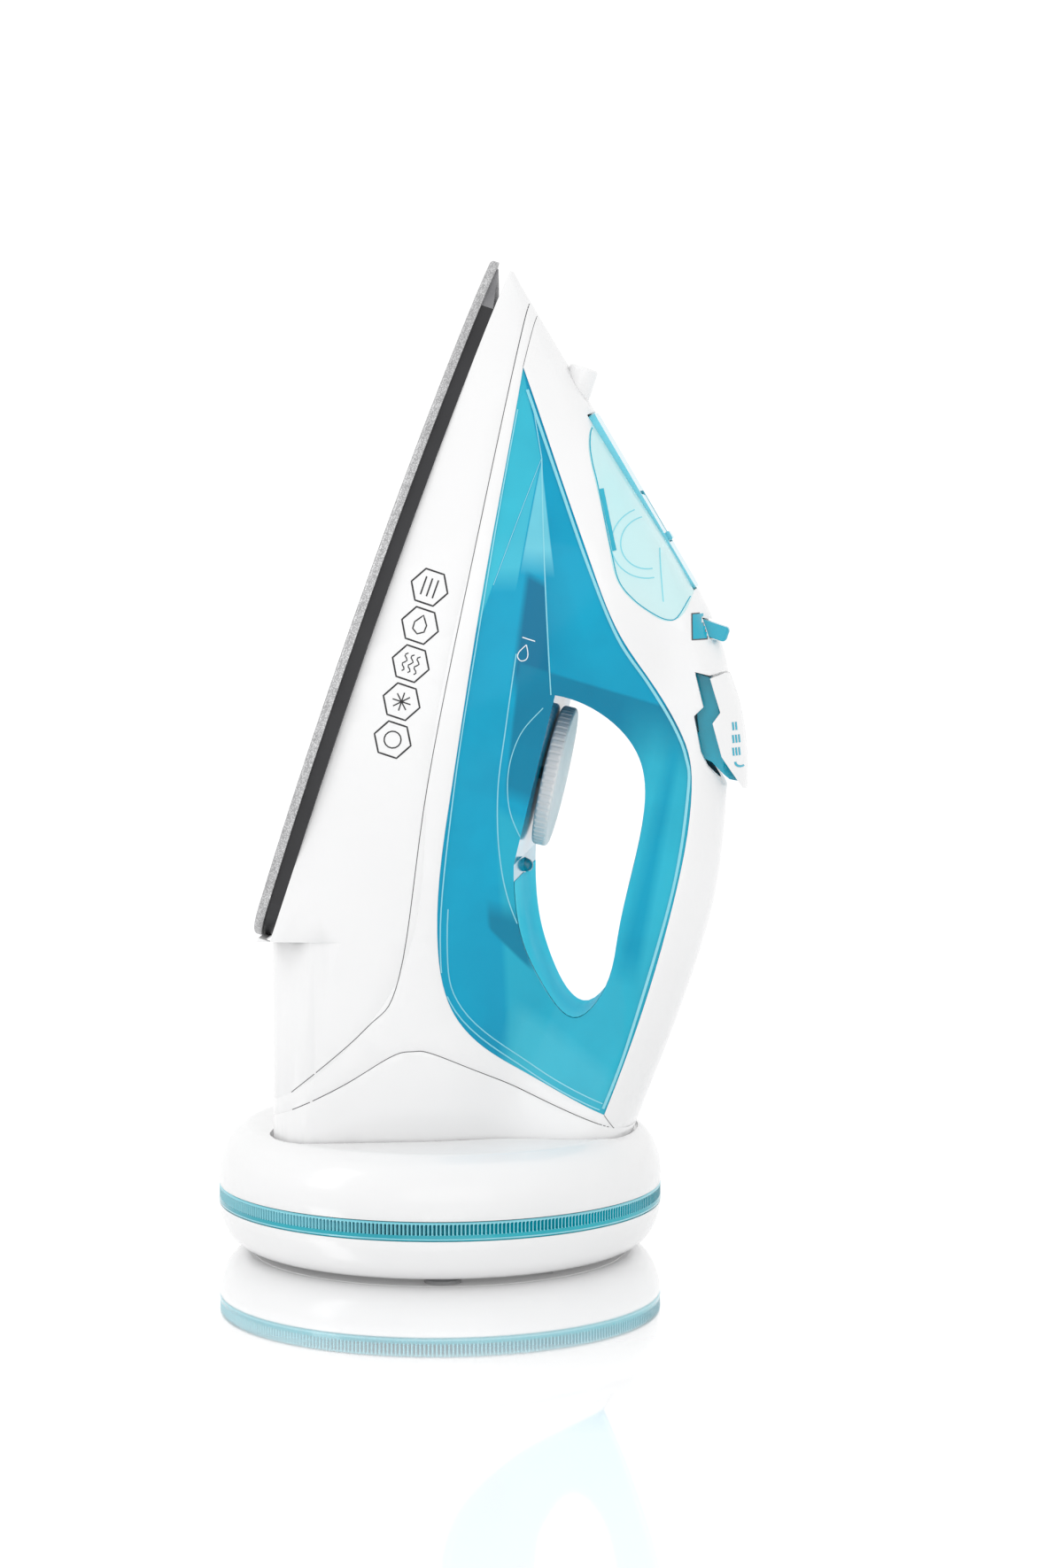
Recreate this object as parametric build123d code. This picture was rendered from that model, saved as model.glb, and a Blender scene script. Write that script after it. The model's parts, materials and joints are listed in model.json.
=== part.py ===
from build123d import *
import math
import os

# Cordless steam iron standing on its swivelling charging base.
# Row frame: Z up, origin on the table under the middle of the docked iron.
# The iron is drawn lying in its own frame: x from the heel to the tip of the sole,
# z from the pressing face to the handle. IRON then stands it on its heel.

# ---- driving dimensions, millimetres ----
SOLE_LENGTH = 231
SOLE_HALF_WIDTH = 54
SOLE_WIDEST_X = 57
SOLE_THICKNESS = 3
SKIRT_TOP = 7.3
WALL = 2.2
LEAN = 18.5                      # degrees between the sole and the vertical when docked
BASE_AXIS_X = -14.2
BASE_RADIUS = 74
HEEL_FLOOR_Z = 39.5              # heel plane above the table
SOLE_HEEL_Z = 109                # rear end of the sole above the table
SOLE_HEEL_X = -70.2
HEEL_FRONT_X = -65.8             # flat front face of the heel
HEEL_HALF_WIDTH = 49.5
HEEL_CORNER = 22                 # plan radius of the heel's two front corners
SEAT_GAP = 0.1                   # under the heel
HEEL_SEAT_SCALE = 1.02           # seat in the base against the heel
HANDLE_HALF_WIDTH = 19
DIAL_RADIUS = 23.5
DIAL_THICKNESS = 5
REACH = 90                       # half length of a cut that passes right across the iron
FIT = 0.05                       # radial clearance of a running fit

SIN = math.sin(math.radians(LEAN))
COS = math.cos(math.radians(LEAN))
IRON = Plane(origin=(SOLE_HEEL_X, 0, SOLE_HEEL_Z), x_dir=(SIN, 0, COS), z_dir=(COS, 0, -SIN))
TO_IRON = IRON.location.inverse()
BASE = Pos(BASE_AXIS_X, 0, 0)

# Stations along the iron: x, height of the spine above the sole, crown radius
STATIONS = (
    (-70, 137, 16), (-45, 137, 16), (-20, 137, 16), (5, 138.2, 16), (30, 138.6, 16),
    (60, 136.7, 16), (92, 129.3, 16), (110, 124.3, 16), (128, 117.7, 14), (151.3, 98.8, 9),
    (175, 71.4, 9), (195, 48.4, 8), (210, 31, 6), (221, 18.2, 4), (227, 11.3, 2),
    (229.6, 8.5, 1),
)
SECTION_LEVELS = (0, 0.15, 0.3, 0.45, 0.6, 0.72, 0.84, 0.93, 0.98)
FORM_BOTTOM = 3.3

# Side-view outlines in the iron's frame: x, z
SEAM_LOWER = ((222.4, 16.8), (150, 27.9), (66.6, 39.3), (3.4, 50.1), (-16.4, 45.2), (-44.4, 28.7),
              (-56, 16))
TANK_APEX = (201.4, 23)
TANK_TIP = (-21, 126.7)
TANK_UPPER = (TANK_APEX, (169.7, 48.5), (148.5, 65.5), (129.4, 81.8), (118.2, 95.4), (107.6, 107.6),
              (98.9, 114.9), (88.1, 119.4), (54.9, 125.2), (3.2, 127.4), TANK_TIP)
TANK_LOWER = (TANK_TIP, (-16.4, 99.5), (-3.4, 70.1), (18.2, 57.8), (65.8, 47.1), (126.5, 36.5),
              TANK_APEX)
OPENING_CORNER = (105, 68.3)
OPENING_DECK_END = (48.5, 73.1)
OPENING_CURVE = (OPENING_CORNER, (103.3, 84.3), (92.3, 100.4), (72.4, 107.6), (35.8, 111.6),
                 (14.8, 112.8), (5.3, 107.7), (14.5, 91.6), (28, 81.4), OPENING_DECK_END)
WINDOW = ((197, 52.6), (190.5, 49.8), (185, 50.9), (178.9, 54.1), (172, 58.7), (153.7, 69.9),
          (145.6, 75.3), (141.4, 81.6), (139, 88.4), (138.3, 94), (140.4, 97.3), (148.1, 98.9),
          (160, 101))
# Heel cover seam, in the row frame: x, z
SEAM_HEEL = ((-80, 42), (-56.8, 52.1), (-40.2, 60.4), (-24.5, 69.9), (-17.6, 71.5), (-10.6, 70.3),
             (9, 61.2), (23.6, 53.9), (46.3, 44.2), (75, 38))
# Button outlines: the cut in the handle, the cap above the parting line, the body below it
BUTTON_CUT = ((128.3, 145), (128.3, 116.4), (125.7, 112.8), (125.4, 107.8), (115.3, 114.1),
              (111.6, 112.2), (101.2, 118), (97.4, 121.4), (92.9, 128.4), (80, 145))
BUTTON_PARTING = ((127.6, 116.8), (124.8, 113.2), (115.3, 119.9), (111.3, 118.7), (101.8, 125),
                  (94.8, 133.4))
BUTTON_BODY_LOWER = ((95, 129.6), (98.7, 122.4), (99.5, 115), (107, 115), (124.8, 106.8))
BUTTON_STATIONS = ((88, 137, 16), (94, 135.7, 16), (104, 132.3, 16), (115, 127.1, 16),
                   (128, 117.8, 14))
BUTTON_PIVOT = (124.4, 116)
PIN_HALF_LENGTH = 9.6            # the pin ends inside the caps
BUTTON_BODY_HALF_WIDTH = 11.2    # clears the handle through the button's swing

# Mechanism positions in the iron's frame
DIAL_CENTRE = (76.2, 71.8)       # middle of the dial's underside
DIAL_TILT = 6.1                  # degrees, towards the nose
THERMOSTAT_TOP_Z = 27
VALVE_X = 133
PUMP_X = 103
PUMP_Y = 6.5
NOZZLE_Z = 40.6
LEVER_X = (137.3, 142.2)
LEVER_Y = 9                      # the steam lever rests at the near end of its slot
CHAMBER_FLOOR = 13
COVER_TOP = 14.6
SLOPE = Plane(origin=(174.8, 0, 71.7), x_dir=(-0.656, 0, 0.755), z_dir=(0.755, 0, 0.656))


# ---- helpers ----
def sole_half_width(x):
    """Half width of the soleplate at x, a blunt heel and a pointed nose."""
    if x < SOLE_WIDEST_X:
        return SOLE_HALF_WIDTH - 6 * ((SOLE_WIDEST_X - x) / SOLE_WIDEST_X) ** 2
    t = (x - SOLE_WIDEST_X) / (SOLE_LENGTH - SOLE_WIDEST_X)
    return SOLE_HALF_WIDTH * (1 - t ** 1.9) ** 0.85


def casing_half_width(x):
    """Half width of the casing where it meets the heat skirt."""
    if x < SOLE_WIDEST_X:
        return 51 - 0.3 * ((SOLE_WIDEST_X - x) / SOLE_WIDEST_X) ** 2
    t = (x - SOLE_WIDEST_X) / (SOLE_LENGTH - 0.5 - SOLE_WIDEST_X)
    return 51 * (1 - t ** 1.9) ** 0.85


def smooth_step(t):
    """Ramp from 0 to 1 with level ends."""
    t = min(1, max(0, t))
    return t * t * (3 - 2 * t)


def body_half_width(x, z, spine, crown):
    """Half width of the iron's body: wide at the sole, waisted to the handle, round on top."""
    foot = casing_half_width(x)
    grip = HANDLE_HALF_WIDTH + 11 * smooth_step((20 - x) / 50)
    if x > 110:
        grip = min(grip, 0.45 * foot)
    waist = min(100, spine)
    rise = max(0, z - SKIRT_TOP) / max(1, waist - SKIRT_TOP)
    flare = max(0, 1 - rise ** 2.2)
    drop = min(1, max(0, (spine - z) / crown))
    return (grip + (foot - grip) * flare) * math.sqrt(1 - (1 - drop) ** 2)


def cross_section(station, inset):
    """Closed section of the body across the iron at one station."""
    x, spine, crown = station
    top = spine - inset
    side = []
    for level in SECTION_LEVELS:
        half = body_half_width(x, FORM_BOTTOM + (spine - FORM_BOTTOM) * level, spine, crown)
        side.append((max(0.2, half - inset), FORM_BOTTOM + (top - FORM_BOTTOM) * level))
    points = [(x, y, z) for y, z in side] + [(x, 0, top)] + [(x, -y, z) for y, z in reversed(side)]
    arch = Spline(*points)
    return Wire([arch, Line(arch @ 1, arch @ 0)])


def body_form(inset, stations=STATIONS):
    """Smooth solid through the stations, drawn in on every side by inset."""
    return Solid.make_loft([cross_section(station, inset) for station in stations])


def side_prism(*curves):
    """Prism right across the iron from closed side-view curves, given as x, z."""
    return extrude(make_face([Plane.XZ * curve for curve in curves]), REACH, both=True)


def side_polygon(points):
    """Prism right across the iron from a side-view polygon."""
    return side_prism(Polyline(*points, close=True))


def slab(points_low, points_high):
    """Box between two opposite corners."""
    size = [high - low for low, high in zip(points_low, points_high)]
    middle = [(high + low) / 2 for low, high in zip(points_low, points_high)]
    return Pos(*middle) * Box(*size)


def rod(radius, z_low, z_high, x=0, y=0):
    """Upright cylinder between two heights."""
    return Pos(x, y, (z_low + z_high) / 2) * Cylinder(radius, z_high - z_low)


def tube(outer, inner, z_low, z_high, x=0, y=0):
    """Upright tube between two heights."""
    return rod(outer, z_low, z_high, x, y) - rod(inner, z_low - 1, z_high + 1, x, y)


def cross_pin(radius, half_length, x, z):
    """Cylinder lying across the iron."""
    return Pos(x, 0, z) * Rot(90, 0, 0) * Cylinder(radius, 2 * half_length)


def polar(count, radius, start=0):
    """Places evenly spaced round the base's axis."""
    for i in range(count):
        angle = math.radians(start + 360 * i / count)
        yield radius * math.cos(angle), radius * math.sin(angle)


def sole_outline(inset, corner=13):
    """Plan face of the sole assembly, drawn in by inset."""
    closing = (1 - (inset / SOLE_HALF_WIDTH) ** (1 / 0.85)) ** (1 / 1.9)
    tip = SOLE_WIDEST_X + (SOLE_LENGTH - SOLE_WIDEST_X) * closing
    sides = []
    for x in (corner, 35, SOLE_WIDEST_X, 90, 125, 155, 180, 200, 215, 225):
        half = sole_half_width(x) - inset
        if half > 2:
            sides.append((x, half))
    start = sides[0]
    shoulder = start[1] - corner + inset
    bend = (inset + 0.293 * (corner - inset), start[1] - 0.293 * (start[1] - shoulder))
    near = Spline(*sides, (tip, 0))
    near_corner = ThreePointArc(start, bend, (inset, shoulder))
    far = mirror(near, Plane.XZ)
    far_corner = mirror(near_corner, Plane.XZ)
    heel = Line((inset, shoulder), (inset, -shoulder))
    return make_face([near, far, near_corner, far_corner, heel])


def sole_layer(inset, z_low, z_high):
    """Plate of the sole assembly between two heights."""
    return Pos(0, 0, z_low) * extrude(sole_outline(inset), z_high - z_low, dir=(0, 0, 1))


# ---- body regions in the iron's frame ----
def opening_prism():
    """The hand hole, right across the iron."""
    return side_prism(Spline(*OPENING_CURVE), Line(OPENING_DECK_END, OPENING_CORNER))


def opening_wall_prism():
    """The hand hole with the wall round it."""
    curve = Spline(*OPENING_CURVE)
    grown = []
    for i in range(13):
        point = curve @ (i / 12)
        tangent = curve % (i / 12)
        grown.append((point.X + WALL * tangent.Y, point.Y - WALL * tangent.X))
    corner = (OPENING_CORNER[0], OPENING_CORNER[1] - WALL)
    return side_prism(Spline(*grown), Polyline(grown[-1], corner, grown[0]))


def heel_keep(front_x, half_width, corner, floor_z):
    """What is left of the body once the heel is squared off, in the iron's frame."""
    heel = slab((front_x, -half_width, floor_z), (140, half_width, 108))
    heel = fillet(heel.edges().filter_by(Axis.Z).group_by(Axis.X)[0], corner)
    above = slab((-150, -REACH, 107.5), (200, REACH, 420))
    return TO_IRON * (heel + above)


def body_regions():
    """Outer body, its hollow, and the side-view prisms that part it into shells."""
    opening = opening_prism()
    opening_wall = opening_wall_prism()
    over_sole = side_polygon([(240, SKIRT_TOP), (1, SKIRT_TOP), (1, 3.3), (-90, 3.3), (-90, 150),
                              (240, 150)])
    over_bay = side_polygon([(240, -5), (3.2, -5), (3.2, 5.5), (-90, 5.5), (-90, 150), (240, 150)])
    outer = body_form(0) & over_sole
    outer = outer & heel_keep(HEEL_FRONT_X, HEEL_HALF_WIDTH, HEEL_CORNER, HEEL_FLOOR_Z)
    hollow = body_form(WALL, STATIONS[:-3]) & over_bay
    hollow = hollow & heel_keep(HEEL_FRONT_X + WALL, HEEL_HALF_WIDTH - WALL, HEEL_CORNER - WALL,
                                HEEL_FLOOR_Z + 3)
    tank = side_prism(Spline(*TANK_UPPER), Spline(*TANK_LOWER))
    lower_cut = side_prism(Spline((240, 14), *SEAM_LOWER),
                           Polyline(SEAM_LOWER[-1], (-90, -20), (240, -20), (240, 14)))
    spine_side = side_prism(Spline(*TANK_UPPER),
                            Polyline(TANK_TIP, (-24.6, 131), (-30, 150), (245, 150), (245, 16.5),
                                     (219.4, 20.5), TANK_APEX))
    heel_cut = TO_IRON * side_prism(Spline(*SEAM_HEEL),
                                    Polyline(SEAM_HEEL[-1], (75, 20), (-80, 20), SEAM_HEEL[0]))
    window = side_prism(Spline(*WINDOW), Polyline(WINDOW[-1], (200, 101), WINDOW[0]))
    return {
        "outer": outer - opening, "hollow": hollow - opening_wall, "opening": opening,
        "opening_wall": opening_wall, "tank": tank, "lower": lower_cut, "spine": spine_side,
        "heel": heel_cut, "window": window,
    }


REGION = body_regions()
SKIN = REGION["outer"] - REGION["hollow"]


# ---- casing shells ----
def dial_place(height=0):
    """Frame on the dial's axis, height above the dial's underside."""
    x, z = DIAL_CENTRE
    return Pos(x, 0, z) * Rot(0, DIAL_TILT, 0) * Pos(0, 0, height)


def door_opening():
    """Cut for the filler door in the inlet frame, in the slope's frame."""
    return slab((-0.4, -7.7, -8), (18.9, 7.7, 4))


def lower_casing():
    return SKIN & REGION["lower"]


def heel_cover():
    cover = SKIN & REGION["heel"]
    socket_hole = slab((BASE_AXIS_X - 17, -10, 30), (BASE_AXIS_X + 17, 10, 50))
    screw_holes = [rod(1.6, 30, 60, BASE_AXIS_X + side * 22) for side in (-1, 1)]
    return cover - TO_IRON * socket_hole - [TO_IRON * hole for hole in screw_holes]


def upper_shells():
    """Main housing in front of the tank and handle cover behind it."""
    white = SKIN - REGION["lower"] - REGION["heel"] - REGION["tank"] - REGION["window"]
    strip = SLOPE * slab((-30.5, -9.6, -2.5), (36.5, 9.6, 6))
    nozzle_hole = Pos(200, 0, NOZZLE_Z) * Rot(0, 90, 0) * Cylinder(4.8, 40)
    lever_slot = slab((LEVER_X[0] - 0.5, -12.8, 99.5), (LEVER_X[1] + 0.5, 12.8, 120))
    cover = white & REGION["spine"]
    cover = cover - strip - nozzle_hole - lever_slot - side_polygon(BUTTON_CUT)
    return white - REGION["spine"], cover


def water_tank():
    """Tinted tank that also forms the sides of the handle loop."""
    recessed = body_form(0.5) & REGION["outer"] & REGION["tank"]
    inside = body_form(0.5 + WALL, STATIONS[:-3]) & Pos(2.4, 0, 2.4) * REGION["tank"]
    tank = recessed - (inside - REGION["opening_wall"])
    tunnel = dial_place() * rod(5, -30, 4)
    tank = tank + (tunnel & recessed)
    tank = tank - dial_place() * rod(3.4, -60, 4)
    tank = tank - rod(4, 20, 50, VALVE_X)
    return tank - Pos(45.2, 0, 74) * Rot(0, -10, 0) * rod(2.2, -6, 6)


def inlet_window():
    """Clear cover over the filler, both sides of the nose slope."""
    strip = SLOPE * slab((-30.5, -9.6, -2.5), (36.5, 9.6, 6))
    return (SKIN & REGION["window"]) - strip


def inlet_frame():
    """Flat strip along the nose slope that carries the filler door."""
    frame = slab((-30, -9.5, -2.4), (36, 9.5, 0))
    frame = fillet(frame.edges().filter_by(Axis.Z), 3)
    frame = frame - door_opening()
    return SLOPE * (frame - cross_pin(0.6, 9, 1.2, -1.3))


def tank_bulkhead():
    """Bulkhead that closes the tank below the handle's front pillar."""
    band = side_polygon([(104, 72), (166, 48.4), (168, 50.4), (105, 75)])
    hollow = body_form(WALL + 0.6, STATIONS[:-3]) & band
    hollow = hollow & Pos(1, 0, 1) * REGION["tank"]
    hollow = hollow - REGION["opening_wall"]
    return hollow - rod(2.6, 30, 100, VALVE_X) - spray_hose()


# ---- sole and heat ----
def element_path():
    """Centre line of the U-shaped heating element."""
    return [(14, 27, 8), (120, 23, 8), (176, 9.5, 8), (176, -9.5, 8), (120, -23, 8), (14, -27, 8)]


def element_sweep(radius):
    path = FilletPolyline(*element_path(), radius=[40, 9, 9, 40])
    return sweep(Plane(origin=path @ 0, z_dir=path % 0) * Circle(radius), path)


def soleplate():
    plate = sole_layer(0, 0, SOLE_THICKNESS)
    plate = fillet(plate.edges().group_by(Axis.Z)[0], 1.2)
    vents = []
    for row in range(7):
        x = 70 + 20 * row
        y = 0.62 * sole_half_width(x)
        vents += [rod(1.25, -1, 5, x, side * y) for side in (-1, 1)]
    vents += [rod(1.25, -1, 5, x) for x in (206, 214)]
    return plate - vents


def heating_plate():
    """Cast plate with the element's groove, the steam chamber and a wedge at the nose."""
    plate = sole_layer(7.6, SOLE_THICKNESS, CHAMBER_FLOOR)
    nose = sole_layer(2.2, SOLE_THICKNESS, SKIRT_TOP - 0.4)
    wedge = side_polygon([(216, 0), (229, 0), (229, 3.4), (216, 6.9)])
    plate = plate & slab((0, -60, 0), (209, 60, 20))
    neck = sole_layer(5.2, SOLE_THICKNESS, SKIRT_TOP - 0.4) & slab((205, -60, 0), (216, 60, 20))
    plate = plate + neck + (nose & wedge)
    chamber = slab((60, -13, 9), (158, 13, 20))
    return plate - chamber - heating_element()


def heating_element():
    """Sheathed U-shaped element with an upright terminal at each end."""
    element = element_sweep(3.3)
    for side in (-1, 1):
        element = element + rod(2, 8, 22, 16.5, side * 26.8)
    return element


def chamber_cover():
    cover = slab((52, -20, CHAMBER_FLOOR), (166, 20, COVER_TOP))
    cover = fillet(cover.edges().filter_by(Axis.Z), 5)
    return cover - rod(2.6, 10, 20, VALVE_X) - [rod(1.5, 10, 20, x, y) for x, y in cover_screws_at()]


def cover_screws_at():
    return [(x, y) for x in (56, 162) for y in (-16.5, 16.5)]


def cover_screws():
    """Pan-head screws that hold the chamber cover."""
    return [rod(1.5, CHAMBER_FLOOR, COVER_TOP, x, y) + rod(2.6, COVER_TOP, COVER_TOP + 2, x, y)
            for x, y in cover_screws_at()]


def heat_skirt():
    ring = sole_layer(1.3, SOLE_THICKNESS, SKIRT_TOP) - sole_layer(4.8, 0, 10)
    return ring & slab((-5, -60, 0), (216, 60, 20))


def thermostat():
    case = slab((60, -9, COVER_TOP), (82, 9, THERMOSTAT_TOP_Z - 3))
    neck = rod(4, THERMOSTAT_TOP_Z - 3, THERMOSTAT_TOP_Z, 71.5)
    return case + neck - dial_place() * rod(2.05, -60, -40)


def thermal_fuse():
    body = Pos(34, 0, 16) * Rot(90, 0, 0) * Cylinder(3, 16)
    return body + slab((31, -4, CHAMBER_FLOOR), (37, 4, 14.5))


# ---- valve, pumps and spray ----
def valve_body():
    body = rod(5, COVER_TOP, 32.5, VALVE_X) + rod(2.6, CHAMBER_FLOOR, COVER_TOP, VALVE_X)
    return body - rod(1.5 + FIT, 0, 40, VALVE_X)


def valve_seal():
    return tube(4, 1.5 + FIT, 32.5, 42, VALVE_X)


def valve_needle():
    return rod(1.5, 18, 93.5, VALVE_X)


def pump_body(side):
    y = side * PUMP_Y
    return rod(4.5, 98.8, 109, PUMP_X, y) - rod(2 + FIT, 101, 112, PUMP_X, y)


def pump_piston(side):
    y = side * PUMP_Y
    return rod(2, 104, 113.2, PUMP_X, y) + rod(3, 113.2, 114.6, PUMP_X, y)


def spray_nozzle():
    barrel = Pos(197, 0, NOZZLE_Z) * Rot(0, 90, 0) * Cylinder(4.8, 20.8)
    barrel = fillet(barrel.edges().group_by(Axis.X)[-1], 1)
    bore = Pos(197, 0, NOZZLE_Z) * Rot(0, 90, 0) * Cylinder(1, 30)
    pocket = Pos(206.9, 0, NOZZLE_Z) * Rot(0, 90, 0) * Cylinder(2.6, 1.4)
    return barrel - bore - pocket


def spray_hose():
    """Hose from the near pump to the nozzle, under the inlet window."""
    path = FilletPolyline((112, PUMP_Y, 101), (126, PUMP_Y, 88), (150, 3, 63), (171, 0, 43.5),
                          (179, 0, NOZZLE_Z), (186.5, 0, NOZZLE_Z), radius=[12, 16, 12, 8])
    return sweep(Plane(origin=path @ 0, z_dir=path % 0) * Circle(1.8), path)


# ---- controls ----
def dial():
    disc = dial_place() * rod(DIAL_RADIUS, 0, DIAL_THICKNESS)
    disc = fillet(disc.edges().filter_by(GeomType.CIRCLE), 1.2)
    notches = []
    for x, y in polar(60, DIAL_RADIUS + 0.35):
        notches.append(dial_place() * rod(0.7, -1, DIAL_THICKNESS + 1, x, y))
    return disc - notches - dial_place() * rod(2, -1, 3)


def dial_shaft():
    return dial_place() * rod(2, -47, 3)


def steam_lever():
    """Carriage inside the handle and the thumb tab that stands through the slot."""
    x_low, x_high = LEVER_X
    carriage = slab((128, LEVER_Y - 6, 95.8), (x_high + 1.5, LEVER_Y + 5.5, 98))
    tab = slab((x_low, LEVER_Y - 3.2, 98), (x_high, LEVER_Y + 3.2, 114))
    tab = fillet(tab.edges().group_by(Axis.Z)[-1], 1.4)
    return carriage + tab


def button_half(side):
    """Space of one of the two buttons, either side of the middle of the handle."""
    low, high = sorted((side * 0.5, side * 40))
    return slab((80, low, 100), (140, high, 150))


def button_cap(side):
    """Cap with its pivot, shaped to the crown of the handle."""
    outline = side_polygon(BUTTON_PARTING + ((93.6, 134.6), (93.6, 145), (127.6, 145)))
    cap = body_form(0, BUTTON_STATIONS) & outline & button_half(side)
    return cap - cross_pin(1.2 + FIT, PIN_HALF_LENGTH + 0.2, *BUTTON_PIVOT)


def button_body(side):
    """Coloured lower half of a button, which presses the pump."""
    outline = side_polygon(BUTTON_PARTING[1:] + BUTTON_BODY_LOWER)
    body = body_form(WALL + 0.6, BUTTON_STATIONS) & outline & button_half(side)
    half = BUTTON_BODY_HALF_WIDTH
    return body & slab((80, -half, 90), (140, half, 150))


def button_pin():
    return cross_pin(1.2, PIN_HALF_LENGTH, *BUTTON_PIVOT)


def filler_door():
    """Flap in the inlet frame, with a finger lip at its free end."""
    leaf = slab((1.2, -7.3, -2.3), (18.4, 7.3, -0.1))
    barrel = cross_pin(1.1, 7.3, 1.2, -1.3)
    lip = slab((15.4, -4, -0.1), (18.4, 4, 1.3))
    lip = fillet(lip.edges().filter_by(Axis.Y), 0.5)
    return SLOPE * (leaf + barrel + lip - cross_pin(0.6 + FIT, 9, 1.2, -1.3))


def door_pin():
    return SLOPE * cross_pin(0.6, 9, 1.2, -1.3)


def filler_funnel():
    """Cup under the filler door, with an outlet to the tank."""
    cup = slab((-0.4, -8.6, -16), (19, 8.6, -2.6))
    hollow = slab((1.4, -6.9, -14.4), (17.2, 6.9, 0))
    outlet = rod(3, -20, -10, 9.3)
    return SLOPE * (cup - hollow - outlet) & body_form(WALL + 0.2, STATIONS[:-3])


def pilot_lens():
    lens = Sphere(2.2) & slab((-3, -3, 0), (3, 3, 3))
    return Pos(45.2, 0, 74) * Rot(0, -10, 0) * (Pos(0, 0, 0.8) * lens + rod(2.2, -1.6, 0.8))


# ---- heel, drawn in the row frame ----
def heel_socket():
    """Cup in the heel that takes the base's plug."""
    x = BASE_AXIS_X
    cup = slab((x - 17, -10, HEEL_FLOOR_Z), (x + 17, 10, 54))
    flange = slab((x - 26, -10, HEEL_FLOOR_Z + 3), (x + 26, 10, HEEL_FLOOR_Z + 5.5))
    hollow = slab((x - 15, -8, 30), (x + 15, 8, 52))
    screws = [rod(1.5, 30, 60, x + side * 22) for side in (-1, 1)]
    return cup + flange - hollow - screws


def heel_contacts():
    return [slab((BASE_AXIS_X + x - 2.5, -4, 49.2), (BASE_AXIS_X + x + 2.5, 4, 52))
            for x in (-9, 0, 9)]


def heel_screws():
    screws = []
    for side in (-1, 1):
        x = BASE_AXIS_X + side * 22
        screws.append(rod(1.5, HEEL_FLOOR_Z + 3, 49, x) + rod(2.8, HEEL_FLOOR_Z + 5.5, 47.2, x))
    return screws


def terminal_block():
    return slab((-34, -15, 72), (-18, 15, 84))


def power_leads():
    """Stiff links from the heel socket to the terminal block and on to the element."""
    leads = [rod(1.2, 54, 72, -26, y) for y in (-7, 0, 7)]
    for side in (-1, 1):
        start = Vector(-26, side * 12, 85.2)
        end = IRON.from_local_coords(Vector(16, -side * 27, 23.5))    # y turns over in this plane
        run = Plane(origin=start, z_dir=end - start)
        leads.append(run * rod(1.2, 0, (end - start).length))
    return leads


# ---- charging base, drawn round its own axis ----
def turned(curve, *corners):
    """Solid of revolution about the base's axis from a curve of radius, z closed by corners."""
    closing = Polyline(curve @ 1, *corners, curve @ 0)
    return revolve(make_face([Plane.XZ * curve, Plane.XZ * closing]), Axis.Z)


def heel_recess():
    """Seat in the base for the heel: the heel itself, grown sideways about its middle."""
    heel = (IRON * REGION["outer"]) & slab((-90, -REACH, 30), (90, REACH, HEEL_FLOOR_Z + 5))
    middle = heel.bounding_box().center().X
    grown = Matrix([[HEEL_SEAT_SCALE, 0, 0, (1 - HEEL_SEAT_SCALE) * middle],
                    [0, HEEL_SEAT_SCALE, 0, 0], [0, 0, 1, -SEAT_GAP]])
    return Pos(-BASE_AXIS_X, 0, 0) * heel.solid().transform_geometry(grown)


def base_pan():
    pan = rod(63, 1.2, 3.4)
    holes = [rod(1.5, 0, 6, x, y) + rod(3, 0, 2.4, x, y) for x, y in polar(4, 55, 45)]
    return pan - holes


def base_feet():
    return [rod(6, 0, 1.2, x, y) for x, y in polar(4, 56, 8)]


def base_screws():
    return [rod(1.5, 1.3, 9, x, y) + rod(2.8, 1.25, 2.4, x, y) for x, y in polar(4, 55, 45)]


def base_lower_shell():
    """White dish below the ring, with screw posts and a ledge for the bearing plate."""
    wall = Spline((64.5, 1.4), (68.5, 3.1), (71.4, 6.4), (73.3, 11), (BASE_RADIUS, 15.4),
                  tangents=[(1, 0.12), (0.05, 1)])
    outer = turned(wall, (0, 15.4), (0, 1.4))
    inner = turned(Polyline((64, 3.4), (67, 5.2), (69.2, 8), (70.6, 12.8), (70.6, 17)),
                   (0, 17), (0, 3.4))
    ledge = tube(69.6, 66.5, 4.4, 12.8)
    shell = outer - inner + (ledge & inner)
    for x, y in polar(4, 55, 45):
        rib = Rot(0, 0, math.degrees(math.atan2(y, x))) * slab((55, -1.5, 3.4), (67, 1.5, 12.8))
        shell = shell + rod(4, 3.4, 12.8, x, y) + rib - rod(1.5, 0, 9.2, x, y)
    shell = shell - rod(63, 0, 3.4)
    return shell - Pos(0, 66, 8.2) * Rot(90, 0, 0) * Cylinder(4.4, 30)


def cord_gland():
    """Bush for the mains lead, in the back of the base."""
    return Pos(0, 65.7, 8.2) * Rot(90, 0, 0) * (Cylinder(4.4, 13.4) - Cylinder(3.2, 20))


def light_ring():
    ring = tube(BASE_RADIUS + 0.2, 70.8, 15.4, 21.6)
    return fillet(ring.edges().group_by(Axis.Z)[-1], 0.6)


def bearing_plate():
    return rod(70.5, 12.8, 15) - rod(6, 0, 20)


def spindle():
    post = rod(12, 10.6, 12.8) + rod(6, 12.8, 15) + rod(6 - FIT, 15, 27.5)
    return post - tube(8, 4.5, 26.1, 27.1)


def spindle_clip():
    return tube(9, 4.5, 26.15, 27.05)


def thrust_washer():
    return tube(16, 8, 15, 16.1)


def contact_tracks():
    return [tube(34, 30, 15, 15.6), tube(44, 40, 15, 15.6)]


def mains_terminals():
    return slab((-14, 30, 3.4), (14, 46, 10.6))


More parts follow.
